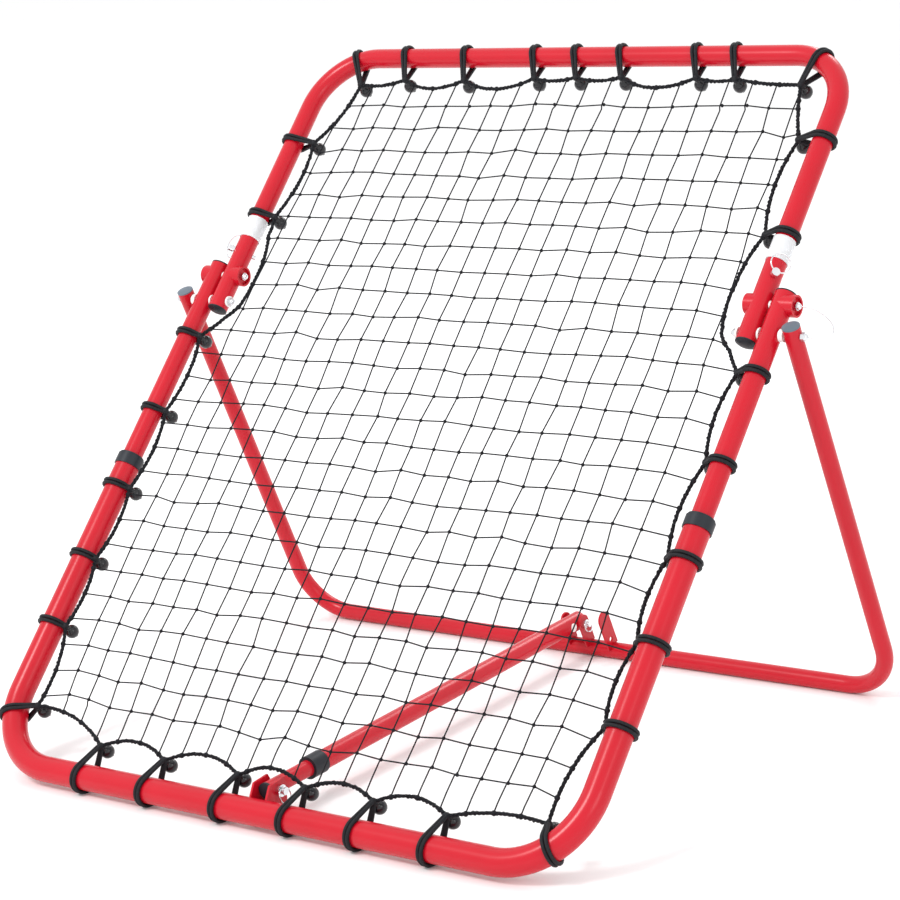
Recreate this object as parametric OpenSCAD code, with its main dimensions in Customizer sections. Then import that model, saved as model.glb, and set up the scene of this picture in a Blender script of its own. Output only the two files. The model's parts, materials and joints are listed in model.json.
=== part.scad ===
// Pitch back rebounder: a leaning, netted tube frame that folds flat.
// Millimetres, +Z up, +X to the right of a person facing the net, net face
// towards -Y. The origin is on the floor under the middle of the object.

/* [Face frame] */
// Lean of the face from the floor, in degrees
lean = 45; // [40:1:55]
// Width of the lower frame, tube centre to tube centre
face_w = 790; // [700:5:860]
// Length of the face, bottom rail centre to top rail centre
face_l = 970; // [930:5:1030]
// Half width of the upper frame, which sits inside the lower one
upper_half = 369; // [369:1:369]
// Distance of the side pivots from the bottom rail, along the face
pivot_s = 612; // [600:1:625]
// Outside diameter of the lower rail tube
rail_d = 29; // [27:0.5:30]
// Outside diameter of the side tubes and the upper frame
side_d = 23.5; // [21:0.5:24]
// Bend radius of the lower corners
rail_bend = 88; // [70:1:110]
// Bend radius of the upper corners
upper_bend = 74; // [60:1:90]

/* [Rear leg] */
// Outside diameter of the rear leg tube
leg_d = 19.5; // [17:0.5:20]
// Half width of the rear leg, outside the lower frame
leg_half = 422; // [422:1:423]
// Distance of the rear bar behind the bottom rail
leg_reach = 600; // [560:5:640]
// Bend radius of the rear leg corners
leg_bend = 60; // [50:1:80]

/* [Strut] */
// Outside diameter of the strut's outer tube
strut_d = 22; // [20:0.5:22]
// Outside diameter of the strut's inner tube
strut_inner_d = 18; // [16:0.5:18]

/* [Net and cords] */
// Diameter of the elastic cord
cord_d = 4; // [3:0.5:5]
// Diameter of the cord balls
ball_d = 16; // [14:1:18]
// Thickness of the net's stand-in sheet
net_t = 2; // [1.5:0.5:3]

/* [Hidden] */
$fn = 96;

wall = 1.2;
fit = 0.05;
gap = 0.3;
rail_r = rail_d / 2;
side_r = side_d / 2;
leg_r = leg_d / 2;
strut_r = strut_d / 2;
inner_r = strut_inner_d / 2;
cord_r = cord_d / 2;
lower_half = face_w / 2;

// Stations along the face, from the bottom rail's centre
collar_s = 375;
collar_l = 19;
side_from_s = collar_s - 60;
side_top_s = 661;
stub_from_s = 601;
stub_to_s = 700;
sleeve_l = 28;
lock_s = 648;
wire_pin_s = 681;

// The bottom rail rests on the cord loops wound round it
rail_z = rail_r + cord_d;
rail_y = -(face_l * cos(lean) + side_r - rail_r) / 2;
pivot_y = rail_y + pivot_s * cos(lean);
pivot_z = rail_z + pivot_s * sin(lean);
bar_y = rail_y + leg_reach;
bar_z = leg_r;
leg_a = atan2(pivot_z - bar_z, pivot_y - bar_y);
leg_l = norm([pivot_y - bar_y, pivot_z - bar_z]);
leg_past = 11;

// Strut pins: the front one in the rail's bracket, the rear one in the clevis
pin_r = 3;
clevis_pin_l = 36;
front_pin_y = rail_y + 28;
front_pin_z = rail_z + 16.5;
rear_pin_y = bar_y + clevis_pin_l * cos(leg_a);
rear_pin_z = bar_z + clevis_pin_l * sin(leg_a);
strut_a = atan2(rear_pin_z - front_pin_z, rear_pin_y - front_pin_y);
strut_l = norm([rear_pin_y - front_pin_y, rear_pin_z - front_pin_z]);
strut_nose = 9;
strut_collar_t = 60;
strut_collar_l = 22;
strut_lap = 200;
cheek_t = 2.5;
clevis_in = strut_r + 0.5;
bracket_in = inner_r + 0.6;
lug_x = 45;
lug_hole_r = 3.25;

red = [0.80, 0.05, 0.09];
black = [0.06, 0.06, 0.07];
grey = [0.45, 0.47, 0.50];
chrome = [0.80, 0.81, 0.83];
white = [0.93, 0.93, 0.92];
clear = [0.92, 0.95, 0.97, 0.45];

// Where each cord loop grips a straight tube: stations along the tube
lower_side_left = [170, 258, 352, 457, 562];
lower_side_right = [156, 249, 345, 457, 564];
bottom_x = [-251, -149, -44, 50, 141, 234];
upper_side_left = [734, 843];
upper_side_right = [734, 857];
top_x = [-251, -160, -55, 2, 66, 170, 227];
// How far the hook of each cord lies from its tube's centre
hook_bottom = 36;
hook_side = 24;
hook_top = 32;
hook_corner = 40;
// How far each ball's centre lies behind its hook
tail_l = 13;
leg_of_cord_r = 3.2;
wrap_r = 4.6;

// ---------- frames of reference ----------
module on_face() {
    translate([0, rail_y, rail_z]) rotate([lean, 0, 0]) children();
}

module on_leg() {
    translate([0, bar_y, bar_z]) rotate([leg_a, 0, 0]) children();
}

module on_strut() {
    translate([0, front_pin_y, front_pin_z]) rotate([strut_a, 0, 0]) children();
}

// ---------- shapes that repeat ----------
module rod_x(r, from, to) {
    translate([from, 0, 0]) rotate([0, 90, 0]) cylinder(r = r, h = to - from);
}

module rod_y(r, from, to) {
    translate([0, from, 0]) rotate([-90, 0, 0]) cylinder(r = r, h = to - from);
}

module tube_y(r, from, to) {
    difference() {
        rod_y(r, from, to);
        rod_y(r - wall, from - 1, to + 1);
    }
}

// A U of solid rod: its rail lies on X, its two sides rise along +Y
module u_rod(half, reach, bend, r) {
    rod_x(r, -(half - bend), half - bend);
    for (side = [-1, 1]) {
        translate([side * half, 0, 0]) rod_y(r, bend, reach);
        translate([side * (half - bend), bend, 0])
            rotate([0, 0, side > 0 ? -90 : 180])
                rotate_extrude(angle = 90) translate([bend, 0]) circle(r = r);
    }
}

module u_tube(half, reach, bend, r) {
    difference() {
        u_rod(half, reach, bend, r);
        u_rod(half, reach + 1, bend, r - wall);
    }
}

// A push-in cap for a tube end that faces +Y
module tube_cap(r, head, dome, plug = 14) {
    rod_y(r - wall, -plug, 0);
    rod_y(r, 0, head);
    translate([0, head, 0]) rotate([-90, 0, 0])
        rotate_extrude() intersection() {
            translate([0, dome - r * r / dome / 2 - dome / 2])
                circle(r = r * r / dome / 2 + dome / 2);
            square([r, dome]);
        }
}

// A dished cup whose back is shaped to sit on a round tube; it points to +X
module saddle_cup(seat_r, cup_r, depth, bore_r) {
    difference() {
        rod_x(cup_r, 0, seat_r + depth);
        rod_y(seat_r, -cup_r - 1, cup_r + 1);
        translate([seat_r + depth, 0, 0]) rod_x(cup_r - 2.2, -3.5, 1);
        rod_x(bore_r, -1, seat_r + depth + 1);
    }
}

// A strip of plate across X, with a round top and an optional hole
module lug_plate(x, w, length, hole_l, hole_r) {
    difference() {
        translate([x - cheek_t / 2, 0, 0]) rotate([90, 0, 90]) linear_extrude(cheek_t) {
            translate([leg_r - 3, -w / 2]) square([length - w / 2 - leg_r + 3, w]);
            translate([length - w / 2, 0]) circle(d = w);
        }
        rod_x(leg_r, x - 10, x + 10);
        translate([0, hole_l, 0]) rod_x(hole_r, x - 10, x + 10);
    }
}

// One elastic cord: a ring round a tube that lies on X, a leg from it to the
// wrap at the hook, and a tail straight back from there, behind the net
module cord_loop(tube_r, hook) {
    ring_r = tube_r + fit + cord_r;
    rotate([0, 90, 0]) rotate_extrude() translate([ring_r, 0]) circle(r = cord_r);
    rod_y(leg_of_cord_r, ring_r, hook);
    translate([0, hook, 0]) sphere(r = wrap_r);
    behind_hook(hook) rod_y(cord_r, 1, tail_l + ball_d / 2 + 1);
}

module cord_ball(hook) {
    behind_hook(hook) translate([0, tail_l, 0]) difference() {
        sphere(d = ball_d);
        rod_y(cord_r + fit, -ball_d, ball_d);
    }
}

module behind_hook(hook) {
    translate([0, hook, 0]) rotate([-90, 0, 0]) children();
}

// Turns one cord to its place and hands its sizes to the shape that is drawn
module cord_place(tube_r, hook, turn) {
    $tube_r = tube_r;
    $hook = hook;
    rotate([0, 0, turn]) children();
}

module at_lower_cords() {
    for (s = lower_side_left)
        translate([-lower_half, s, 0])
            cord_place(s > collar_s ? side_r : rail_r, hook_side, -90) children();
    for (s = lower_side_right)
        translate([lower_half, s, 0])
            cord_place(s > collar_s ? side_r : rail_r, hook_side, 90) children();
    for (x = bottom_x)
        translate([x, 0, 0]) cord_place(rail_r, hook_bottom, 0) children();
    for (side = [-1, 1])
        translate([side * (lower_half - rail_bend), rail_bend, 0])
            rotate([0, 0, side * 45]) translate([0, -rail_bend, 0]) rotate([0, 0, -side * 45])
                cord_place(rail_r, hook_corner, side * 45) children();
}

module at_upper_cords() {
    for (s = upper_side_left)
        translate([-upper_half, s, 0]) cord_place(side_r, hook_side, -90) children();
    for (s = upper_side_right)
        translate([upper_half, s, 0]) cord_place(side_r, hook_side, 90) children();
    for (x = top_x)
        translate([x, face_l, 0]) cord_place(side_r, hook_top, 180) children();
    for (side = [-1, 1])
        translate([side * (upper_half - upper_bend), face_l - upper_bend, 0])
            rotate([0, 0, 180 - side * 45]) translate([0, -upper_bend, 0])
                rotate([0, 0, side * 45 - 180]) cord_place(side_r, hook_corner, 180 - side * 45)
                    children();
}

// ---------- lower frame ----------
module lower_rail_tube() {
    color(red) on_face() u_tube(lower_half, collar_s + 4, rail_bend, rail_r);
}

module side_tube(side) {
    color(red) on_face() difference() {
        translate([side * lower_half, 0, 0]) tube_y(side_r, side_from_s, side_top_s);
        for (s = [pivot_s, lock_s])
            translate([0, s, 0]) rod_x(pin_r + fit, side * lower_half - 20, side * lower_half + 20);
    }
}

// Black bush that closes the mouth of the rail tube round the side tube
module collar(side) {
    color(black) on_face() translate([side * lower_half, 0, 0]) difference() {
        union() {
            rod_y(rail_r - wall, collar_s - 30, collar_s + 4);
            rod_y(rail_r + 1.5, collar_s + 4, collar_s + collar_l - 2);
            rod_y(rail_r + 0.3, collar_s + collar_l - 2, collar_s + collar_l);
        }
        rod_y(side_r, collar_s - 31, collar_s + collar_l + 1);
    }
}

module side_cap(side) {
    color(black) on_face() translate([side * lower_half, side_top_s, 0])
        tube_cap(side_r, 1.6, 1.2, 9);
}

// ---------- upper frame ----------
module upper_rail_tube() {
    color(red) on_face() translate([0, face_l, 0]) rotate([0, 0, 180])
        u_tube(upper_half, face_l - stub_to_s - sleeve_l, upper_bend, side_r);
}

module stub_tube(side) {
    color(red) on_face() difference() {
        translate([side * upper_half, 0, 0]) tube_y(side_r, stub_from_s, stub_to_s);
        for (s = [pivot_s, lock_s])
            translate([0, s, 0]) rod_x(pin_r + fit, side * upper_half - 20, side * upper_half + 20);
        translate([side * upper_half, wire_pin_s, 0]) rotate([0, -side * 45, 0])
            rod_x(pin_r + fit, -20, 20);
    }
}

module stub_cap(side) {
    color(black) on_face() translate([side * upper_half, stub_from_s, 0]) rotate([0, 0, 180])
        difference() {
            tube_cap(side_r, 1.2, 3.4);
            translate([0, stub_from_s - pivot_s, 0]) rod_x(pin_r + 1, -20, 20);
        }
}

// Inner tube that carries the upper frame over the clear sleeve
module joiner(side) {
    color(chrome) on_face() translate([side * upper_half, 0, 0]) difference() {
        tube_y(side_r - wall - 0.1, stub_to_s - 34, stub_to_s + sleeve_l + 40);
        translate([0, wire_pin_s, 0]) rotate([0, -side * 45, 0]) rod_x(pin_r + fit, -20, 20);
    }
}

module clear_sleeve(side) {
    color(clear) on_face() translate([side * upper_half, 0, 0]) difference() {
        rod_y(side_r + 0.8, stub_to_s, stub_to_s + sleeve_l);
        rod_y(side_r - wall - 0.1, stub_to_s - 1, stub_to_s + sleeve_l + 1);
    }
}

// Cross pin of the wire lock, on a slant from the outer front to the inner back
module wire_pin(side) {
    color(chrome) on_face() translate([side * upper_half, wire_pin_s, 0])
        rotate([0, side > 0 ? -45 : -135, 0]) {
            rod_x(pin_r, -side_r - 4, side_r + 2);
            rod_x(4.5, side_r + 1, side_r + 7);
        }
}

// Spring wire arch of the wire lock, from the pin's head round the tube
module wire_bail(side) {
    bail_r = side_r + 5.5;
    wire_r = 0.9;
    color(chrome) on_face() translate([side * upper_half, wire_pin_s, 0])
        rotate([0, side > 0 ? -45 : -135, 0]) {
            rotate([90 - 35, 0, 0]) rotate([0, 0, 19.5])
                rotate_extrude(angle = 76) translate([bail_r, 0]) circle(r = wire_r);
        }
}

// ---------- side pivots ----------
module pivot_bolt(side) {
    inner_x = upper_half - side_r - 4.5;
    outer_x = leg_half + leg_r + 4.3;
    color(chrome) on_face() translate([0, pivot_s, 0]) mirror([side > 0 ? 0 : 1, 0, 0])
        rod_x(pin_r, inner_x, outer_x);
}

module pivot_dome_nuts() {
    color(chrome) on_face() translate([0, pivot_s, 0]) for (m = [0, 1]) mirror([m, 0, 0]) {
        translate([leg_half + leg_r + gap, 0, 0]) dome_nut();
        translate([upper_half - side_r - 2.6, 0, 0]) rotate([0, 180, 0]) dome_nut();
    }
}

// Hexagon nut with a domed end, bored for the bolt, pointing to +X
module dome_nut() {
    difference() {
        union() {
            rotate([0, 90, 0]) cylinder(d = 10, h = 3.6, $fn = 6);
            translate([3, 0, 0]) intersection() {
                sphere(r = 4.1);
                rod_x(5, 0, 5);
            }
        }
        rod_x(pin_r, -1, 4.5 - gap);
    }
}

module pivot_washers() {
    color(white) on_face() translate([0, pivot_s, 0]) for (m = [0, 1]) mirror([m, 0, 0])
        difference() {
            rod_x(6.5, upper_half - side_r - 2.5, upper_half - side_r - gap);
            rod_x(pin_r, 0, leg_half);
        }
}

module pivot_spacer(from, to, r) {
    color(white) on_face() translate([0, pivot_s, 0]) for (m = [0, 1]) mirror([m, 0, 0])
        difference() {
            rod_x(r, from, to);
            rod_x(pin_r, from - 1, to + 1);
        }
}

module pivot_spacers_inner() {
    pivot_spacer(upper_half + side_r + gap, lower_half - side_r, 7);
}

module pivot_spacers_outer() {
    pivot_spacer(lower_half + side_r, leg_half - leg_r - gap, 7);
}

// ---------- hinge locks ----------
// Each lock pin is drawn back to the gap between the two tubes it locks, so the
// frame is free to fold: its full stroke through the second tube is not filled
lock_head_r = 4.5;
cup_r = 12;
cup_depth = 6.5;
lock_x = [-upper_half, lower_half];
lock_nose = [-upper_half - side_r, upper_half + side_r + 1];

module hinge_lock_pin(i) {
    seat = lock_x[i] + side_r;
    color(chrome) on_face() translate([0, lock_s, 0]) {
        rod_x(pin_r, lock_nose[i], seat + cup_depth);
        rod_x(lock_head_r, seat + cup_depth - 3.5 + gap, seat + cup_depth + 1);
        translate([seat + cup_depth + 1, 0, 0]) intersection() {
            sphere(r = lock_head_r - 0.6);
            rod_x(lock_head_r, 0, lock_head_r);
        }
    }
}

module lock_cup(i) {
    color(red) on_face() translate([lock_x[i], lock_s, 0])
        saddle_cup(side_r, cup_r, cup_depth, pin_r + fit);
}

// The dished disc on the far side of each pair of tubes
module lock_disc(x) {
    color(red) on_face() translate([x, lock_s, 0]) rotate([0, 0, 180])
        saddle_cup(side_r, cup_r - 0.5, 3.8, pin_r + fit);
}

module lock_spacers() {
    color(white) on_face() translate([0, lock_s, 0]) for (m = [0, 1]) mirror([m, 0, 0])
        difference() {
            rod_x(4.5, upper_half + side_r + gap, lower_half - side_r);
            rod_x(pin_r + fit, upper_half, lower_half);
        }
}

// ---------- rear leg ----------
module rear_leg_tube() {
    color(red) on_leg() difference() {
        u_tube(leg_half, leg_l + leg_past, leg_bend, leg_r);
        translate([0, leg_l, 0]) for (side = [-1, 1])
            rod_x(pin_r + fit, side * leg_half - 20, side * leg_half + 20);
    }
}

module leg_cap(side) {
    color(grey) on_leg() translate([side * leg_half, leg_l + leg_past, 0])
        difference() {
            tube_cap(leg_r, 1.4, 1.2);
            translate([0, -leg_past, 0]) rod_x(pin_r + 1, -20, 20);
        }
}

module rear_clevis() {
    color(red) on_leg() for (side = [-1, 1])
        lug_plate(side * (clevis_in + cheek_t / 2), 18, clevis_pin_l + 11, clevis_pin_l, pin_r + fit);
}

module rear_lug() {
    color(red) on_leg() lug_plate(lug_x, 20, 56, 17, lug_hole_r);
}

// Quick-release pin in the clevis, drawn back to the face of the strut
module rear_pin() {
    head_x = clevis_in + cheek_t;
    color(chrome) on_leg() translate([0, clevis_pin_l, 0]) {
        rod_x(pin_r, clevis_in - 0.2, head_x + 2);
        rod_x(5, head_x, head_x + 3);
        rod_x(3.4, head_x + 3, head_x + 8);
    }
}

// ---------- strut ----------
module front_bracket() {
    base_w = bracket_in + cheek_t;
    color(red) difference() {
        union() {
            for (side = [-1, 1])
                translate([side * (bracket_in + cheek_t / 2) - cheek_t / 2, rail_y, rail_z])
                    rotate([90, 0, 90]) linear_extrude(cheek_t)
                        polygon([[6, 12], [14, 26], [36, 28], [40, 20], [38, 2], [13, 1]]);
            translate([-base_w, rail_y, rail_z]) rotate([90, 0, 90]) linear_extrude(2 * base_w)
                polygon([[13, 1.8], [38, 3.2], [38, 0.8], [13, -0.6]]);
        }
        translate([0, rail_y, rail_z]) rod_x(rail_r + 0.02, -base_w - 1, base_w + 1);
        translate([0, front_pin_y, front_pin_z]) rod_x(pin_r + fit, -base_w - 1, base_w + 1);
    }
}

module front_pin() {
    head_x = bracket_in + cheek_t;
    color(chrome) translate([0, front_pin_y, front_pin_z]) {
        rod_x(pin_r, -head_x - 6, head_x + 2);
        rod_x(6.5, head_x + 0.1, head_x + 4);
        rod_x(4, head_x + 4, head_x + 9);
    }
}

module strut_inner_tube() {
    color(red) on_strut() difference() {
        tube_y(inner_r, -strut_nose + 3, strut_collar_t + strut_lap);
        rod_x(pin_r + fit, -20, 20);
    }
}

module strut_end_piece() {
    color(black) on_strut() difference() {
        union() {
            rod_y(inner_r - wall, -strut_nose + 3, 22);
            rod_y(inner_r, -strut_nose, -strut_nose + 3);
        }
        rod_x(pin_r + fit, -20, 20);
    }
}

module strut_collar() {
    color(black) on_strut() difference() {
        union() {
            rod_y(strut_r + 1.6, strut_collar_t, strut_collar_t + strut_collar_l);
            rod_y(strut_r - wall, strut_collar_t + strut_collar_l, strut_collar_t + strut_collar_l + 20);
        }
        rod_y(inner_r + fit, strut_collar_t - 1, strut_collar_t + strut_collar_l + 21);
        difference() {
            rod_y(strut_r, strut_collar_t + strut_collar_l - 6, strut_collar_t + strut_collar_l + 1);
            rod_y(strut_r - wall, strut_collar_t, strut_collar_t + strut_collar_l + 2);
        }
    }
}

module strut_outer_tube() {
    from = strut_collar_t + strut_collar_l - 6;
    color(red) on_strut() difference() {
        tube_y(strut_r, from, strut_l + 8);
        translate([0, strut_l, 0]) rod_x(pin_r + fit, -20, 20);
        translate([0, strut_l - 18, 0]) rod_x(2.5, -20, 20);
    }
}

// Rivet near the strut's rear end, which holds its end plug
module strut_rivet() {
    color(white) on_strut() translate([0, strut_l - 18, 0]) {
        rod_x(2.45, -strut_r - 0.6, strut_r + 0.6);
        for (m = [0, 1]) mirror([m, 0, 0]) difference() {
            rod_x(5, strut_r - 1.3, strut_r + 0.6);
            rod_y(strut_r + 0.02, -10, 10);
        }
    }
}

// ---------- net and elastic cords ----------
// A sheet across the face; its two corners at the end that is away from the
// pivots are cut off by the chamfer
module net_sheet(half, pivot_end, far_end, chamfer) {
    step = pivot_end > far_end ? chamfer : -chamfer;
    color(black) on_face() translate([0, 0, -net_t / 2]) linear_extrude(net_t) polygon([
        [-half, pivot_end], [half, pivot_end], [half, far_end + step],
        [half - chamfer, far_end], [chamfer - half, far_end], [-half, far_end + step]
    ]);
}

// The notch at the sheet's bottom edge clears the strut when the leg is folded
module net_lower() {
    difference() {
        net_sheet(345, pivot_s - 6, 58, 48);
        color(black) on_face() translate([-17, 50, -net_t]) cube([34, 48, 2 * net_t]);
    }
}

module net_upper() {
    net_sheet(322, pivot_s + 6, 912, 40);
}

module cord_loops_lower() {
    color(black) on_face() at_lower_cords() cord_loop($tube_r, $hook);
}

module cord_balls_lower() {
    color(black) on_face() at_lower_cords() cord_ball($hook);
}

module cord_loops_upper() {
    color(black) on_face() at_upper_cords() cord_loop($tube_r, $hook);
}

module cord_balls_upper() {
    color(black) on_face() at_upper_cords() cord_ball($hook);
}

lower_rail_tube();
side_tube(-1);  // side_tube_left
side_tube(1);  // side_tube_right
collar(-1);  // collar_left
collar(1);  // collar_right
side_cap(-1);  // side_cap_left
side_cap(1);  // side_cap_right
upper_rail_tube();
stub_tube(-1);  // stub_tube_left
stub_tube(1);  // stub_tube_right
stub_cap(-1);  // stub_cap_left
stub_cap(1);  // stub_cap_right
joiner(-1);  // joiner_left
joiner(1);  // joiner_right
clear_sleeve(-1);  // clear_sleeve_left
clear_sleeve(1);  // clear_sleeve_right
wire_pin(-1);  // wire_pin_left
wire_pin(1);  // wire_pin_right
wire_bail(-1);  // wire_bail_left
wire_bail(1);  // wire_bail_right
pivot_bolt(-1);  // pivot_bolt_left
pivot_bolt(1);  // pivot_bolt_right
pivot_washers();
pivot_dome_nuts();
pivot_spacers_inner();
pivot_spacers_outer();
hinge_lock_pin(0);  // hinge_lock_pin_left
hinge_lock_pin(1);  // hinge_lock_pin_right
lock_cup(0);  // lock_cup_left
lock_cup(1);  // lock_cup_right
lock_disc(-lower_half);  // lock_disc_left
lock_disc(upper_half);  // lock_disc_right
lock_spacers();
rear_leg_tube();
leg_cap(-1);  // leg_cap_left
leg_cap(1);  // leg_cap_right
rear_clevis();
rear_lug();
rear_pin();
front_bracket();
front_pin();
strut_inner_tube();
strut_end_piece();
strut_collar();
strut_outer_tube();
strut_rivet();
net_lower();
net_upper();
cord_loops_lower();
cord_balls_lower();
cord_loops_upper();
cord_balls_upper();
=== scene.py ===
"""A pitch back rebounder: a knotted net held by elastic cords in a leaning tube frame.

Lengths of the real pieces are in millimetres until they are put in a mesh. Places on the
leaning face are (x, s, n): across the face, up its slope from the bottom rail's centre,
and out of its front.
"""

import json
import math

import bpy
import numpy as np
from mathutils import Matrix


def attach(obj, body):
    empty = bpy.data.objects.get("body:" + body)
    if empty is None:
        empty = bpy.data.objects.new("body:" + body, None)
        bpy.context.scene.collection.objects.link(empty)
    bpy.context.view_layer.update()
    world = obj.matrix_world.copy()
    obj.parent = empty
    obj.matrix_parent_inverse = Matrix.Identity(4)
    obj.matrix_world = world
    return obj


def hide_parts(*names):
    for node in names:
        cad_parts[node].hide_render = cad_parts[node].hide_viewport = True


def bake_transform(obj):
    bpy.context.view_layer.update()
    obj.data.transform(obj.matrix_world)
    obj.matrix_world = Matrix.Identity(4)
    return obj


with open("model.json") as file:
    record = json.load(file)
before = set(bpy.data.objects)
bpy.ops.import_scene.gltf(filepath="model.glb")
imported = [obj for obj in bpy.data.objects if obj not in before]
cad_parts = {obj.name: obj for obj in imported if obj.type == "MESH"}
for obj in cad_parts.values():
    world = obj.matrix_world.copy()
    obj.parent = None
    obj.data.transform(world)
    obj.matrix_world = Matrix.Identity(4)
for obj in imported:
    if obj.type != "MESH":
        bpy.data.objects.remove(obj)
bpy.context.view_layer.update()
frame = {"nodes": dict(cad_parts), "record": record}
scene = bpy.context.scene
nodes = frame["nodes"]
MM = 0.001

# ---------------------------------------------------------------------------
# Camera. It stands to the right of the net and a little above it, turned by a
# few degrees about its own axis, far enough away for a narrow lens.
# ---------------------------------------------------------------------------
camera_place = np.array([1900.6, -2340.4, 1079.5]) * MM
camera_azimuth = math.radians(38.617)
camera_elevation = math.radians(14.183)
camera_roll = math.radians(-5.479)
camera_lens = 112.6
camera_sensor = 36
farthest_seen = 50

back = np.array([
    math.sin(camera_azimuth) * math.cos(camera_elevation),
    -math.cos(camera_azimuth) * math.cos(camera_elevation),
    math.sin(camera_elevation),
])
level_right = np.cross(-back, [0, 0, 1])
level_right /= np.linalg.norm(level_right)
level_up = np.cross(level_right, -back)
right = math.cos(camera_roll) * level_right + math.sin(camera_roll) * level_up
up = -math.sin(camera_roll) * level_right + math.cos(camera_roll) * level_up

camera_data = bpy.data.cameras.new("camera")
camera_data.sensor_width = camera_sensor
camera_data.lens = camera_lens
camera_data.clip_end = farthest_seen
camera = bpy.data.objects.new("camera", camera_data)
scene.collection.objects.link(camera)
pose = np.eye(4)
pose[:3, 0], pose[:3, 1], pose[:3, 2], pose[:3, 3] = right, up, back, camera_place
camera.matrix_world = Matrix(pose.tolist())
scene.camera = camera
scene.view_settings.view_transform = "Standard"

# ---------------------------------------------------------------------------
# Studio. A near-white floor, an even white surround and three square soft
# lights: the key high in front on the left, a fill on the right and one behind.
# ---------------------------------------------------------------------------
def new_material(name):
    """An empty node material with its shader, ready to be wired up."""
    material = bpy.data.materials.new(name)
    material.use_nodes = True
    tree = material.node_tree
    return material, tree, tree.nodes["Principled BSDF"]


def add(tree, kind, **values):
    """A new node in the tree; each value is set on the socket or property of that name."""
    node = tree.nodes.new(kind)
    for name, value in values.items():
        socket = name.replace("_", " ").title()
        if socket in node.inputs:
            node.inputs[socket].default_value = value
        else:
            setattr(node, name, value)
    return node


def varied(tree, shader, light, dark, scale, detail=3):
    """Base colour that drifts between two near shades with noise in Object coordinates."""
    place = add(tree, "ShaderNodeTexCoord")
    noise = add(tree, "ShaderNodeTexNoise", scale=scale, detail=detail)
    ramp = add(tree, "ShaderNodeValToRGB")
    ramp.color_ramp.elements[0].color = (*dark, 1)
    ramp.color_ramp.elements[0].position = 0.3
    ramp.color_ramp.elements[1].color = (*light, 1)
    ramp.color_ramp.elements[1].position = 0.7
    tree.links.new(place.outputs["Object"], noise.inputs["Vector"])
    tree.links.new(noise.outputs["Fac"], ramp.inputs["Fac"])
    tree.links.new(ramp.outputs["Color"], shader.inputs["Base Color"])
    return place


def bumped(tree, shader, place, scale, strength, distance):
    """A fine surface relief from noise in Object coordinates."""
    noise = add(tree, "ShaderNodeTexNoise", scale=scale, detail=2)
    bump = add(tree, "ShaderNodeBump", strength=strength, distance=distance)
    tree.links.new(place.outputs["Object"], noise.inputs["Vector"])
    tree.links.new(noise.outputs["Fac"], bump.inputs["Height"])
    tree.links.new(bump.outputs["Normal"], shader.inputs["Normal"])


floor_half = 12.0
surround_strength = 1.08
floor_mesh = bpy.data.meshes.new("floor")
floor_mesh.from_pydata(
    [(-floor_half, -floor_half, 0), (floor_half, -floor_half, 0),
     (floor_half, floor_half, 0), (-floor_half, floor_half, 0)], [], [(0, 1, 2, 3)])
floor = bpy.data.objects.new("floor", floor_mesh)
scene.collection.objects.link(floor)
floor_paint, tree, shader = new_material("floor_paper")
varied(tree, shader, (0.93, 0.93, 0.93), (0.92, 0.92, 0.925), 0.8)
shader.inputs["Roughness"].default_value = 0.9
shader.inputs["Specular IOR Level"].default_value = 0.1
floor_mesh.materials.append(floor_paint)

world = bpy.data.worlds.new("surround")
scene.world = world
world.use_nodes = True
world.node_tree.nodes["Background"].inputs["Color"].default_value = (1.0, 1.0, 1.0, 1)
world.node_tree.nodes["Background"].inputs["Strength"].default_value = surround_strength


def soft_light(name, place, aim, size, power):
    """A square area light at place, turned to face aim."""
    data = bpy.data.lights.new(name, "AREA")
    data.shape = "SQUARE"
    data.size = size
    data.energy = power
    lamp = bpy.data.objects.new(name, data)
    scene.collection.objects.link(lamp)
    away = np.array(place, float) - np.array(aim, float)
    away /= np.linalg.norm(away)
    side = np.cross([0, 0, 1], away)
    side /= np.linalg.norm(side)
    matrix = np.eye(4)
    matrix[:3, 0], matrix[:3, 1], matrix[:3, 2] = side, np.cross(away, side), away
    matrix[:3, 3] = place
    lamp.matrix_world = Matrix(matrix.tolist())


soft_light("key_light", place=(-1.2, -2.6, 3.4), aim=(0, 0, 0.3), size=1.0, power=74)
soft_light("fill_light", place=(3.4, -1.4, 1.8), aim=(0, 0, 0.4), size=1.2, power=14)
soft_light("back_light", place=(-0.5, 3.2, 2.6), aim=(0, 0, 0.4), size=1.2, power=26)

# ---------------------------------------------------------------------------
# Red steel tubes. Drawn steel tube bent to shape and powder coated a glossy
# red, with the brackets, cups and lugs welded or riveted on in the same coat.
# ---------------------------------------------------------------------------
red_paint, tree, shader = new_material("red_paint")
place = varied(tree, shader, (0.56, 0.006, 0.020), (0.50, 0.005, 0.016), 9)
bumped(tree, shader, place, 420, 0.10, 0.0004)
shader.inputs["Roughness"].default_value = 0.26
shader.inputs["Specular IOR Level"].default_value = 0.34

red_nodes = [
    "lower_rail_tube", "side_tube_left", "side_tube_right", "upper_rail_tube",
    "stub_tube_left", "stub_tube_right", "rear_leg_tube", "rear_clevis", "rear_lug",
    "front_bracket", "strut_inner_tube", "strut_outer_tube",
    "lock_cup_left", "lock_cup_right", "lock_disc_left", "lock_disc_right",
]


def finish_nodes(names, material):
    """Gives each CAD node its finish."""
    for name in names:
        for slot in nodes[name].material_slots:
            slot.material = material


finish_nodes(red_nodes, red_paint)

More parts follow.
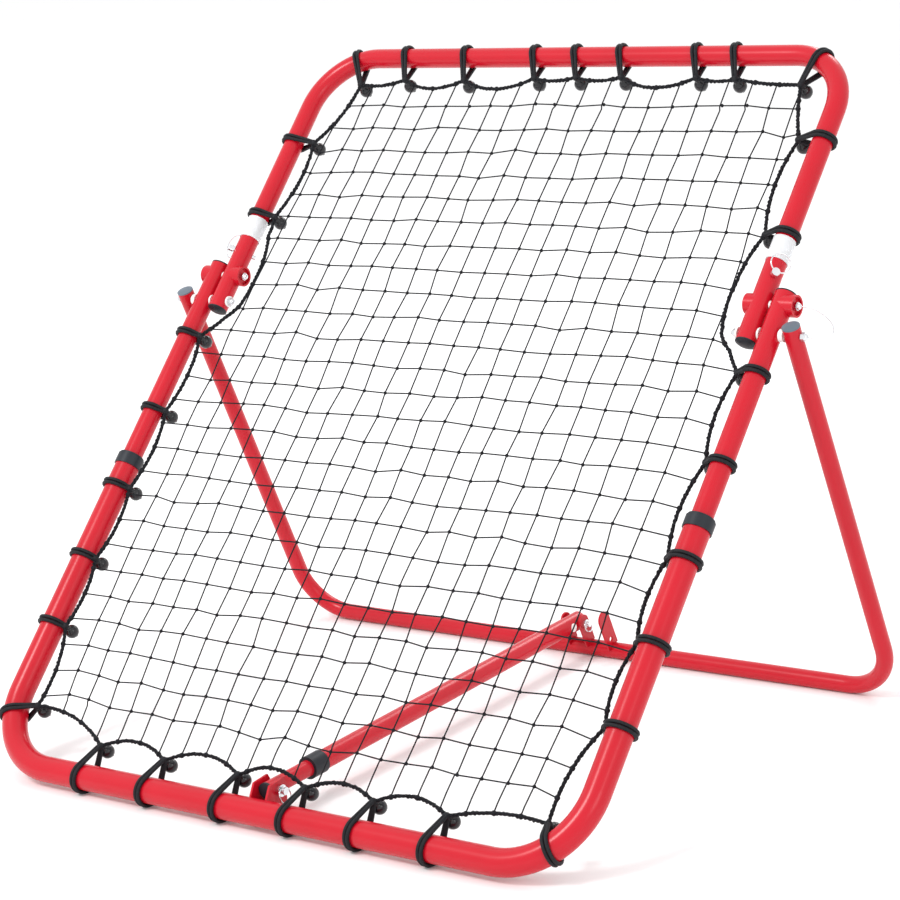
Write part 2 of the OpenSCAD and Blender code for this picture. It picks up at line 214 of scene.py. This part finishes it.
# ---------------------------------------------------------------------------
# Plastic caps and bushes. Injection moulded, pushed into the tube ends and
# over the joints: black ones on the face, grey ones on the rear leg.
# ---------------------------------------------------------------------------
black_plastic, tree, shader = new_material("black_plastic")
place = varied(tree, shader, (0.020, 0.024, 0.032), (0.010, 0.012, 0.017), 30)
bumped(tree, shader, place, 900, 0.15, 0.0003)
shader.inputs["Roughness"].default_value = 0.42
shader.inputs["Specular IOR Level"].default_value = 0.3
finish_nodes(["collar_left", "collar_right", "side_cap_left", "side_cap_right", "stub_cap_left",
              "stub_cap_right", "strut_end_piece", "strut_collar"], black_plastic)

grey_plastic, tree, shader = new_material("grey_plastic")
place = varied(tree, shader, (0.13, 0.165, 0.205), (0.10, 0.13, 0.165), 30)
bumped(tree, shader, place, 900, 0.15, 0.0003)
shader.inputs["Roughness"].default_value = 0.5
finish_nodes(["leg_cap_left", "leg_cap_right"], grey_plastic)

# ---------------------------------------------------------------------------
# Clear sleeves. Short lengths of soft clear tubing over the joiners, which
# keep the upper frame from rattling on the stubs.
# ---------------------------------------------------------------------------
clear_plastic, tree, shader = new_material("clear_plastic")
place = varied(tree, shader, (0.97, 0.98, 0.99), (0.93, 0.94, 0.96), 40)
bumped(tree, shader, place, 240, 0.05, 0.0003)
shader.inputs["Roughness"].default_value = 0.2
shader.inputs["IOR"].default_value = 1.2
shader.inputs["Transmission Weight"].default_value = 0.35
finish_nodes(["clear_sleeve_left", "clear_sleeve_right"], clear_plastic)

# ---------------------------------------------------------------------------
# Plated steel. Bolts, nuts, lock pins, pull pins and the joiners, with the
# faint streaks of a bright zinc or nickel plating.
# ---------------------------------------------------------------------------
plated_steel, tree, shader = new_material("plated_steel")
place = varied(tree, shader, (0.86, 0.87, 0.89), (0.70, 0.71, 0.74), 60)
bumped(tree, shader, place, 700, 0.08, 0.0002)
shader.inputs["Metallic"].default_value = 1.0
shader.inputs["Roughness"].default_value = 0.2
finish_nodes(["joiner_left", "joiner_right", "wire_pin_left", "wire_pin_right", "wire_bail_left",
              "wire_bail_right", "pivot_bolt_left", "pivot_bolt_right", "pivot_dome_nuts",
              "hinge_lock_pin_left", "hinge_lock_pin_right", "rear_pin", "front_pin"],
             plated_steel)

# ---------------------------------------------------------------------------
# White nylon. Washers and spacers that keep the folding tubes apart, and the
# two-headed rivet near the strut's rear end.
# ---------------------------------------------------------------------------
white_nylon, tree, shader = new_material("white_nylon")
place = varied(tree, shader, (0.90, 0.90, 0.88), (0.82, 0.82, 0.80), 40)
bumped(tree, shader, place, 600, 0.1, 0.0003)
shader.inputs["Roughness"].default_value = 0.45
finish_nodes(["pivot_washers", "pivot_spacers_inner", "pivot_spacers_outer", "lock_spacers",
              "strut_rivet"], white_nylon)

# ---------------------------------------------------------------------------
# Shapes. Places on the leaning face, and round cords and beads as closed meshes.
# ---------------------------------------------------------------------------
half_root = math.sqrt(0.5)
up_slope = np.array([0, half_root, half_root])
out_front = np.array([0, -half_root, half_root])
across = np.array([1.0, 0, 0])
hinge_s = 612
hinge = [j["pos_m"] for j in frame["record"]["behaviour"]["joints"] if j["name"] == "upper_fold"]
face_origin = np.array(hinge[0]) / MM - hinge_s * up_slope


def on_face(x, s, n):
    """Points of the shared frame in metres for places (x, s, n) on the leaning face."""
    x, s, n = np.broadcast_arrays(np.asarray(x, float), s, n)
    place = face_origin + x[..., None] * across + s[..., None] * up_slope
    return (place + n[..., None] * out_front) * MM


def new_piece(name, points, faces, material, slot):
    """A smooth mesh object from arrays of points and lists of faces."""
    mesh = bpy.data.meshes.new(name)
    mesh.from_pydata(points.tolist(), [], faces)
    mesh.polygons.foreach_set("use_smooth", [True] * len(mesh.polygons))
    mesh.materials.append(material)
    piece = bpy.data.objects.new(name, mesh)
    scene.collection.objects.link(piece)
    return piece


def swept(paths, radius, sides, flat, closed=False):
    """Round cords along many paths of one length: each ring is a circle of the radius round
    its path point, in the plane of the side vector (tangent x flat) and (side x tangent).
    paths is (count, points, 3) in metres; flat is a direction that no path runs along."""
    paths = np.asarray(paths, float)
    count, length = paths.shape[:2]
    if closed:
        ahead = np.roll(paths, -1, 1) - np.roll(paths, 1, 1)
    else:
        ahead = np.gradient(paths, axis=1)
    ahead /= np.linalg.norm(ahead, axis=2, keepdims=True)
    side = np.cross(ahead, flat)
    side /= np.linalg.norm(side, axis=2, keepdims=True)
    top = np.cross(side, ahead)
    turn = np.arange(sides) * 2 * math.pi / sides
    radius = np.broadcast_to(np.asarray(radius, float), (count, length))[..., None, None]
    ring = side[:, :, None] * np.cos(turn)[:, None] + top[:, :, None] * np.sin(turn)[:, None]
    points = (paths[:, :, None] + radius * ring).reshape(-1, 3)
    path, step, corner = np.meshgrid(
        np.arange(count), np.arange(length if closed else length - 1), np.arange(sides),
        indexing="ij")
    here, there = step * sides, (step + 1) % length * sides
    start = path * length * sides
    after = (corner + 1) % sides
    quads = np.stack([start + here + corner, start + there + corner,
                      start + there + after, start + here + after], -1).reshape(-1, 4)
    faces = quads.tolist()
    if not closed:
        first = np.arange(count)[:, None] * length * sides + np.arange(sides)
        faces += first.tolist() + (first[:, ::-1] + (length - 1) * sides).tolist()
    return points, faces


def joined(parts):
    """Several (points, faces) pairs as one."""
    points = np.concatenate([part[0] for part in parts])
    faces, start = [], 0
    for part_points, part_faces in parts:
        faces += [[corner + start for corner in face] for face in part_faces]
        start += len(part_points)
    return points, faces


def beads(centres, radius, rings, sides):
    """Small round knots: spheres of the radius (sin v cos u, sin v sin u, cos v) at centres."""
    centres = np.asarray(centres, float)
    v = np.arange(1, rings) * math.pi / rings
    u = np.arange(sides) * 2 * math.pi / sides
    band = np.stack([np.sin(v)[:, None] * np.cos(u), np.sin(v)[:, None] * np.sin(u),
                     np.cos(v)[:, None] * np.ones(sides)], -1).reshape(-1, 3)
    ball = np.concatenate([[[0, 0, 1]], band, [[0, 0, -1]]])
    size = len(ball)
    points = (centres[:, None] + ball * radius).reshape(-1, 3)
    one = [[0, 1 + k, 1 + (k + 1) % sides] for k in range(sides)]
    for row in range(rings - 2):
        a, b = 1 + row * sides, 1 + (row + 1) * sides
        one += [[a + k, b + k, b + (k + 1) % sides, a + (k + 1) % sides] for k in range(sides)]
    last = 1 + (rings - 2) * sides
    one += [[last + k, size - 1, last + (k + 1) % sides] for k in range(sides)]
    faces = [[corner + start for corner in face]
             for start in range(0, size * len(centres), size) for face in one]
    return points, faces


# ---------------------------------------------------------------------------
# Border rope. A black rope of about 5 mm, laid from three strands, that runs all
# round the net. The cords hook it, and it bows inwards between them.
# ---------------------------------------------------------------------------
left_low_hooks = [(-376, 170), (-378, 258), (-376, 352), (-376, 457), (-377, 562)]
left_high_hooks = [(-346, 734), (-338, 843)]
top_hooks = [(-306, 931), (-240, 938), (-150, 937), (-48, 940), (11, 941), (74, 941),
             (176, 940), (228, 938), (315, 930)]
right_high_hooks = [(339, 857), (343, 734)]
right_low_hooks = [(373, 564), (376, 457), (374, 345), (376, 249), (376, 156)]
bottom_hooks = [(354, 48), (235, 36), (141, 36), (50, 36), (-43, 36), (-149, 36),
                (-245, 38), (-362, 70)]
bay_points = 24

# The net's hump in front of the strut's collar, and the sag of its rows at their right end
collar_lift = 6.0
collar_hump_s = 63
hump_x_reach = 26
hump_s_reach = 34
most_dip = 7.0
undipped_s = 950
dip_run = 300


def rope_bays(hooks, bow):
    """The rope from hook to hook: each bay is its chord plus a parabola of bow times its
    length, to the right of the way it runs, which is the net's inside."""
    hooks = np.array(hooks, float)
    bow = np.broadcast_to(bow, len(hooks) - 1)[:, None, None]
    t = np.linspace(0, 1, bay_points, endpoint=False)[:, None]
    start, run = hooks[:-1, None], np.diff(hooks, axis=0)[:, None]
    inside = np.stack([run[..., 1], -run[..., 0]], -1)
    return (start + run * t + inside * bow * 4 * t * (1 - t)).reshape(-1, 2)


def lift(x, s):
    """How far the net stands out in front of the strut's collar, in millimetres."""
    away = (x / hump_x_reach) ** 2 + ((s - collar_hump_s) / hump_s_reach) ** 2
    return collar_lift * np.exp(-away)


def end_dip(s):
    """How far the right end of the row at s is drawn down the rope, in millimetres."""
    return -most_dip * np.clip((undipped_s - s) / dip_run, 0, 1)


# Beside the pivots the net draws the rope well in, clear of the bolts
left_waist = [(-352, 588), (-337, 606), (-332, 640), (-333, 676), (-342, 707)]
right_waist = [(335, 713), (330, 677), (329, 644), (337, 607), (354, 589)]
side_bow = 0.085
long_bow = 0.14
short_bow = 0.08
waist_bow = 0.03
top_right_bow = 0.03
bottom_right_bow = 0.06
bottom_left_bow = 0.09
left_rope = np.concatenate([
    rope_bays(bottom_hooks[-1:] + left_low_hooks, side_bow),
    rope_bays(left_low_hooks[-1:] + left_waist + left_high_hooks[:1], waist_bow),
    rope_bays(left_high_hooks + top_hooks[:1], side_bow)])
top_rope = rope_bays(top_hooks, [short_bow, long_bow, long_bow, short_bow, short_bow,
                                 long_bow, short_bow, top_right_bow])
right_rope = np.concatenate([
    rope_bays(top_hooks[-1:] + right_high_hooks, [top_right_bow, short_bow]),
    rope_bays(right_high_hooks[-1:] + right_waist + right_low_hooks[:1], waist_bow),
    rope_bays(right_low_hooks + bottom_hooks[:1], side_bow)])
bottom_rope = rope_bays(bottom_hooks, [bottom_right_bow] + [long_bow] * 5 + [bottom_left_bow])
rope_line = np.concatenate([left_rope, top_rope, right_rope, bottom_rope])

# Three strands laid round that line, each a helix about it
strand_count = 3
lay_length = 15.0
strand_wander = 0.22
strand_out = 1.25
strand_r = 1.15
ring_gap = 2.2
walk = np.append(rope_line, rope_line[:1], 0)
run = np.append(0, np.cumsum(np.linalg.norm(np.diff(walk, axis=0), axis=1)))
rings = int(run[-1] / ring_gap)
at = np.arange(rings) * run[-1] / rings
line = np.stack([np.interp(at, run, walk[:, 0]), np.interp(at, run, walk[:, 1])], -1)
ahead = np.roll(line, -1, 0) - np.roll(line, 1, 0)
ahead /= np.linalg.norm(ahead, axis=1, keepdims=True)
turns = round(run[-1] / lay_length)
rough = np.random.default_rng(11)
strands = []
for strand in range(strand_count):
    phase = 2 * math.pi * (at / run[-1] * turns + strand / strand_count)
    out = strand_out * (1 + strand_wander * rough.standard_normal(rings))
    aside = out * np.cos(phase)
    strands.append(on_face(line[:, 0] + ahead[:, 1] * aside, line[:, 1] - ahead[:, 0] * aside,
                           out * np.sin(phase) + lift(line[:, 0], line[:, 1])))

twine_black, tree, shader = new_material("black_twine")
place = varied(tree, shader, (0.012, 0.013, 0.017), (0.004, 0.004, 0.006), 260)
bumped(tree, shader, place, 1500, 0.5, 0.0006)
shader.inputs["Roughness"].default_value = 0.7
shader.inputs["Specular IOR Level"].default_value = 0.2

# The net is tied to the rope at both ends of each of its rows and columns
row_count = 26
row_pitch = 32.64
first_row = 83
row_s = first_row + row_pitch * np.arange(row_count)
outer_col = 10
col_pitch = 32.0
col_x = col_pitch * np.arange(-outer_col, outer_col + 1)
left_end = np.interp(row_s, left_rope[:, 1], left_rope[:, 0])
right_end = np.interp(row_s + end_dip(row_s), right_rope[::-1, 1], right_rope[::-1, 0])
upper_line = np.concatenate([left_rope[-bay_points:], top_rope, right_rope[:bay_points]])
col_top = np.interp(col_x, upper_line[:, 0], upper_line[:, 1])
col_bottom = np.interp(col_x, bottom_rope[::-1, 0], bottom_rope[::-1, 1])
tied = np.concatenate([
    on_face(left_end, row_s, 0),
    on_face(right_end, row_s + end_dip(row_s), 0),
    on_face(col_x, col_top, 0),
    on_face(col_x, col_bottom, lift(col_x, col_bottom))])
rope_knot_r = 3.1
near_front = out_front + 0.01
rope_parts = [swept(np.array(strands), strand_r * MM, sides=6, flat=near_front, closed=True),
              beads(tied, rope_knot_r * MM, rings=6, sides=10)]
border_rope = new_piece("border_rope", *joined(rope_parts), twine_black, "net_twine")

# ---------------------------------------------------------------------------
# Net. Thin black twine knotted at every crossing into square meshes of about
# 32 mm. It gives a little at each knot, and more beside the bowed rope.
# ---------------------------------------------------------------------------
twine_r = 0.85
knot_r = 2.15
knot_drift = 1.3

# What share of the rope's bow and of the rows' sag the knots beside it follow, and how deep in
low_pull_share = 0.45
high_pull_share = 0.35
pull_reach = 40.0
dip_share = 0.6
dip_reach = 60

# No knot sits nearer to the rope than edge_gap, and crossing twines lie over_under to each side
edge_gap = 6
over_under = 0.35
col_steps = 170
row_steps = 260

loose = np.random.default_rng(5)
knot_dx = loose.normal(0, knot_drift, (len(col_x), len(row_s)))
knot_ds = loose.normal(0, knot_drift, (len(col_x), len(row_s)))
low_pull = (col_bottom - np.mean(col_bottom))[:, None] * low_pull_share
high_pull = (col_top - np.mean(col_top))[:, None] * high_pull_share
knot_ds += end_dip(row_s) * dip_share * np.exp((col_x[:, None] - right_end) / dip_reach)
knot_ds += low_pull * np.exp(-(row_s - first_row) / pull_reach)
knot_ds += high_pull * np.exp((row_s - row_s[-1]) / pull_reach)

# The columns stand a little wider apart half-way up than at the ends
spread_s = [60, 180, 560, 930]
spread = [1.0, 1.034, 1.034, 0.99]
up_t = np.linspace(0, 1, col_steps)
up_s = col_bottom[:, None] + (col_top - col_bottom)[:, None] * up_t
up_x = np.array([x * np.interp(s, spread_s, spread) + np.interp(s, row_s, dx, left=0, right=0)
                 for x, s, dx in zip(col_x, up_s, knot_dx)])
over_t = np.linspace(0, 1, row_steps)
over_x = left_end[:, None] + (right_end - left_end)[:, None] * over_t
over_s = []
for s, x, dx, ds, low, high in zip(row_s, over_x, knot_dx.T, knot_ds.T, left_end, right_end):
    knots_x = col_x * np.interp(s, spread_s, spread) + dx
    held = (knots_x > low + edge_gap) & (knots_x < high - edge_gap)
    knots_x = np.concatenate([[low], knots_x[held], [high]])
    over_s.append(s + np.interp(x, knots_x, np.concatenate([[0], ds[held], [end_dip(s)]])))
over_s = np.array(over_s)
col_grid, row_grid = np.meshgrid(col_x, row_s, indexing="ij")
col_grid = col_grid * np.interp(row_s, spread_s, spread)
inside = ((row_grid < col_top[:, None] - edge_gap) & (row_grid > col_bottom[:, None] + edge_gap)
          & (col_grid > left_end + edge_gap) & (col_grid < right_end - edge_gap))
knot_x, knot_s = (col_grid + knot_dx)[inside], (row_grid + knot_ds)[inside]
knots = on_face(knot_x, knot_s, lift(knot_x, knot_s))
up_twine = on_face(up_x, up_s, over_under + lift(up_x, up_s))
over_twine = on_face(over_x, over_s, -over_under + lift(over_x, over_s))
net_parts = [swept(up_twine, twine_r * MM, sides=5, flat=out_front),
             swept(over_twine, twine_r * MM, sides=5, flat=out_front),
             beads(knots, knot_r * MM, rings=4, sides=6)]
net = new_piece("net_twine", *joined(net_parts), twine_black, "net_twine")

# The real net folds along the line of the two side pivots; here the net and rope are only baked
# into fixed meshes
fold_half = 22
for piece in (net, border_rope):
    tuple(on_face(0, hinge_s - fold_half, 0))
    tuple(on_face(0, hinge_s + fold_half, 0))
    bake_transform(piece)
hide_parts("net_lower", "net_upper")

# ---------------------------------------------------------------------------
# Elastic cords. Each is one loop of about 4 mm cord with a ball on it: the doubled
# cord goes round the tube and the rope, and its ball sits behind the net.
# ---------------------------------------------------------------------------
cord_r = 2.1
strand_half = 2.2

# The tubes that the cords go round: their radii and the places of their centre lines
rail_r = 14.5
side_r = 11.75
collar_s = 375
lower_half = 395
upper_half = 369
top_s = 970

# How the two strands close in on the hook, under the wrap, and run down into the ball
tail_length = 13.0
wrap_r = 4.4
pinch_share = 0.6
apart_share = 0.8
seat_share = 0.9
arc_steps = 40
run_steps = 6
flat_tilt = 0.02

# The ball's outline as (along its axis, radius), with a neck before it and a nub after it
ball_r = 8.0
ball_neck = [(-10.5, 0.05), (-10.4, 3.1), (-7.6, 3.3)]
ball_nub = [(8.8, 2.2), (9.9, 1.8), (10.1, 0.05)]
ball_start = 0.42
ball_stop = math.pi - 0.28
ball_rows = 12
ball_sides = 20
off_axis = [0.3, 0.8, -0.52]


def cord_strand(tube, hook, tube_r, offset):
    """One strand as places (x, s, n): from the ball up to the hook, along the tangent to
    the tube, round its far side, and back along the other tangent to the hook."""
    inward = np.array([hook[0] - tube[0], hook[1] - tube[1], 0.0])
    reach = np.linalg.norm(inward)
    inward /= reach
    along = np.array([-inward[1], inward[0], 0.0])
    front = np.array([0, 0, 1.0])
    ring = tube_r + cord_r
    leave = math.acos(ring / reach)
    angle = np.linspace(leave, 2 * math.pi - leave, arc_steps)[:, None]
    centre = np.array([tube[0], tube[1], 0.0])
    arc = centre + ring * (np.cos(angle) * inward + np.sin(angle) * front) + offset * along
    pinch = np.array([hook[0], hook[1], 0.0]) + offset * pinch_share * along
    apart = front * cord_r * apart_share
    t = np.linspace(0, 1, run_steps + 1)[:-1, None]
    seat = pinch - front * (tail_length - ball_r * seat_share)
    tail = seat * (1 - t) + (pinch + apart) * t
    go = (pinch + apart) * (1 - t) + arc[0] * t
    come = arc[-1] * (1 - t) + (pinch - apart) * t
    strand = np.concatenate([tail, go, arc, come, (pinch - apart)[None]])
    flat = along[0] * across + along[1] * up_slope + flat_tilt * out_front
    return on_face(strand[:, 0], strand[:, 1], strand[:, 2]), flat


def ball_lathe(centre, axis):
    """The ball with its neck and nub: the outline r(t) turned about the unit axis through
    centre, which is in metres, as centre + axis t + side r cos u + top r sin u."""
    v = np.linspace(ball_start, ball_stop, ball_rows)
    sphere = [(-ball_r * math.cos(a), ball_r * math.sin(a)) for a in v]
    profile = np.array(ball_neck + sphere + ball_nub) * MM
    side = np.cross(axis, off_axis)
    side /= np.linalg.norm(side)
    top = np.cross(axis, side)
    turn = np.arange(ball_sides) * 2 * math.pi / ball_sides
    ring = side * np.cos(turn)[:, None] + top * np.sin(turn)[:, None]
    points = centre + profile[:, :1, None] * axis + profile[:, 1:, None] * ring
    sides, rows = len(turn), len(profile)
    faces = []
    for row in range(rows - 1):
        a, b = row * sides, (row + 1) * sides
        faces += [[a + k, a + (k + 1) % sides, b + (k + 1) % sides, b + k]
                  for k in range(sides)]
    faces += [list(range(sides))[::-1], [(rows - 1) * sides + k for k in range(sides)]]
    return points.reshape(-1, 3), faces


def cord_and_ball(tube, hook, tube_r):
    """One cord and its ball, from the tube's centre and the hook, both (x, s)."""
    strands = [cord_strand(tube, hook, tube_r, offset)
               for offset in (-strand_half, strand_half)]
    wrap = beads([on_face(hook[0], hook[1], 0)], wrap_r * MM, rings=8, sides=12)
    parts = [swept([strand], cord_r * MM, sides=8, flat=flat) for strand, flat in strands]
    return joined(parts + [wrap]), ball_lathe(on_face(*hook, -tail_length), -out_front)


# Where the end cords cross the centre lines of the four bends, and how far the
# cords between them slant along the tube
low_left_bend = (-389, 56)
low_right_bend = (368, 25)
top_left_bend = (-322, 965)
top_right_bend = (330, 961)
low_slant = 4
top_slant = 8
lower_cords = []
upper_cords = []
for x, s in left_low_hooks + right_low_hooks:
    lower_cords.append(((math.copysign(lower_half, x), s), (x, s),
                        side_r if s > collar_s else rail_r))
for x, s in bottom_hooks[1:-1]:
    lower_cords.append(((x - low_slant, 0), (x, s), rail_r))
lower_cords.append((low_left_bend, bottom_hooks[-1], rail_r))
lower_cords.append((low_right_bend, bottom_hooks[0], rail_r))
for x, s in left_high_hooks + right_high_hooks:
    upper_cords.append(((math.copysign(upper_half, x), s), (x, s), side_r))
for x, s in top_hooks[1:-1]:
    upper_cords.append(((x - top_slant, top_s), (x, s), side_r))
upper_cords.append((top_left_bend, top_hooks[0], side_r))
upper_cords.append((top_right_bend, top_hooks[-1], side_r))

cord_black, tree, shader = new_material("cord_sheath")
place = varied(tree, shader, (0.014, 0.015, 0.019), (0.005, 0.005, 0.007), 500)
bumped(tree, shader, place, 1800, 0.4, 0.0005)
shader.inputs["Roughness"].default_value = 0.6
shader.inputs["Specular IOR Level"].default_value = 0.25

ball_black, tree, shader = new_material("ball_plastic")
place = varied(tree, shader, (0.014, 0.015, 0.018), (0.009, 0.009, 0.011), 90)
bumped(tree, shader, place, 500, 0.1, 0.0003)
shader.inputs["Roughness"].default_value = 0.25

for body, cords in (("lower_frame", lower_cords), ("upper_frame", upper_cords)):
    half = body.split("_")[0]
    made = [cord_and_ball(*cord) for cord in cords]
    loops = new_piece("elastic_cords_" + half, *joined([pair[0] for pair in made]),
                      cord_black, "cord_sheath")
    balls = new_piece("cord_balls_" + half + "_set", *joined([pair[1] for pair in made]),
                      ball_black, "ball_plastic")
    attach(loops, body)
    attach(balls, body)
    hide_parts("cord_loops_" + half)
    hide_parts("cord_balls_" + half)

# ---------------------------------------------------------------------------
# Wires. Springy plated wire: a bow and a ring on the upper tubes' lock pins, a
# lanyard from the right hinge pin to its bolt, and rings on the two pull pins.
# ---------------------------------------------------------------------------
spring_r = 0.75
lock_s = 681

# The left lock pin's bow and the right one's ring, from the pin's place on its tube
bow_rise = 3
bow_out = 12.6
bow_half = 16
bow_depth = 8
lock_ring_r = 11
lock_ring_out = 17
lock_ring_rise = 12
lock_ring_aside = 2
groove_r = 3.6
pin_out = np.array([half_root, 0, half_root])
pin_left = pin_out * (-1, 1, 1)
aside_right = np.array([half_root, 0, -half_root])
climb = np.array([0, 1.0, 0])


def ellipse(centre, one, two, start, stop, count):
    """Places on an ellipse: centre + one cos t + two sin t, for t from start to stop."""
    t = np.linspace(start, stop, count, endpoint=stop - start < 2 * math.pi)[:, None]
    return centre + one * np.cos(t) + two * np.sin(t)


def bezier(ends, handles, count):
    """A cubic Bezier curve between two places, pulled towards two handles."""
    t = np.linspace(0, 1, count)[:, None]
    a, b, c, d = (np.array(v, float) for v in (ends[0], handles[0], handles[1], ends[1]))
    return a * (1 - t) ** 3 + 3 * b * t * (1 - t) ** 2 + 3 * c * t ** 2 * (1 - t) + d * t ** 3


def wire_piece(name, path, flat, closed=False):
    """One round plated wire along a path in metres."""
    wire = swept([path], spring_r * MM, sides=8, flat=flat, closed=closed)
    return new_piece(name, *wire, plated_steel, "chrome")


def face_path(places):
    """Places (x, s, n) along a curve as points in metres."""
    return on_face(places[:, 0], places[:, 1], places[:, 2])


stub_left = np.array([-upper_half, lock_s + bow_rise, 0])
lock_bow = ellipse(stub_left + pin_left * bow_out, climb * bow_half, pin_left * bow_depth,
                   start=0, stop=math.pi, count=40)
stub_right = np.array([upper_half, lock_s, 0])
ring_centre = (stub_right + pin_out * lock_ring_out + climb * lock_ring_rise
               + aside_right * lock_ring_aside)
lock_ring = ellipse(ring_centre, climb * lock_ring_r, aside_right * lock_ring_r,
                    start=0, stop=2 * math.pi, count=48)
lock_flat = half_root * across + half_root * out_front
for name, places, closed in (("left", lock_bow, False), ("right", lock_ring, True)):
    wire = wire_piece("lock_wire_" + name, face_path(places), lock_flat, closed)
    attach(wire, "wire_lock_" + name)
    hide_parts("wire_bail_" + name)

pin_head = (416, 648, 0)
bolt_nut = (437, 612, 0)
lanyard_handles = ((452, 650, 0), (497, 604, 0))
lanyard_path = face_path(bezier((pin_head, bolt_nut), lanyard_handles, count=48))
lanyard = wire_piece("hinge_lanyard", lanyard_path, out_front + flat_tilt * across)
tuple(on_face(*bolt_nut))
tuple(on_face(bolt_nut[0], pin_head[1], 0))
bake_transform(lanyard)

# Each pull ring hangs from the groove behind its pin's knob
pull_rings = [("front", (18.0, -313.6, 35.0), 8.5), ("rear", (18.5, 245.7, 43.4), 6.5)]
level = np.array([0, 1.0, 0])
drop = np.array([0.25, 0, -1.0])
for name, place, ring_r in pull_rings:
    centre = (np.array(place) + drop * (ring_r - groove_r)) * MM
    path = ellipse(centre, level * ring_r * MM, drop * ring_r * MM,
                   start=0, stop=2 * math.pi, count=40)
    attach(wire_piece(name + "_pull_ring", path, across, True), name + "_pull_pin")
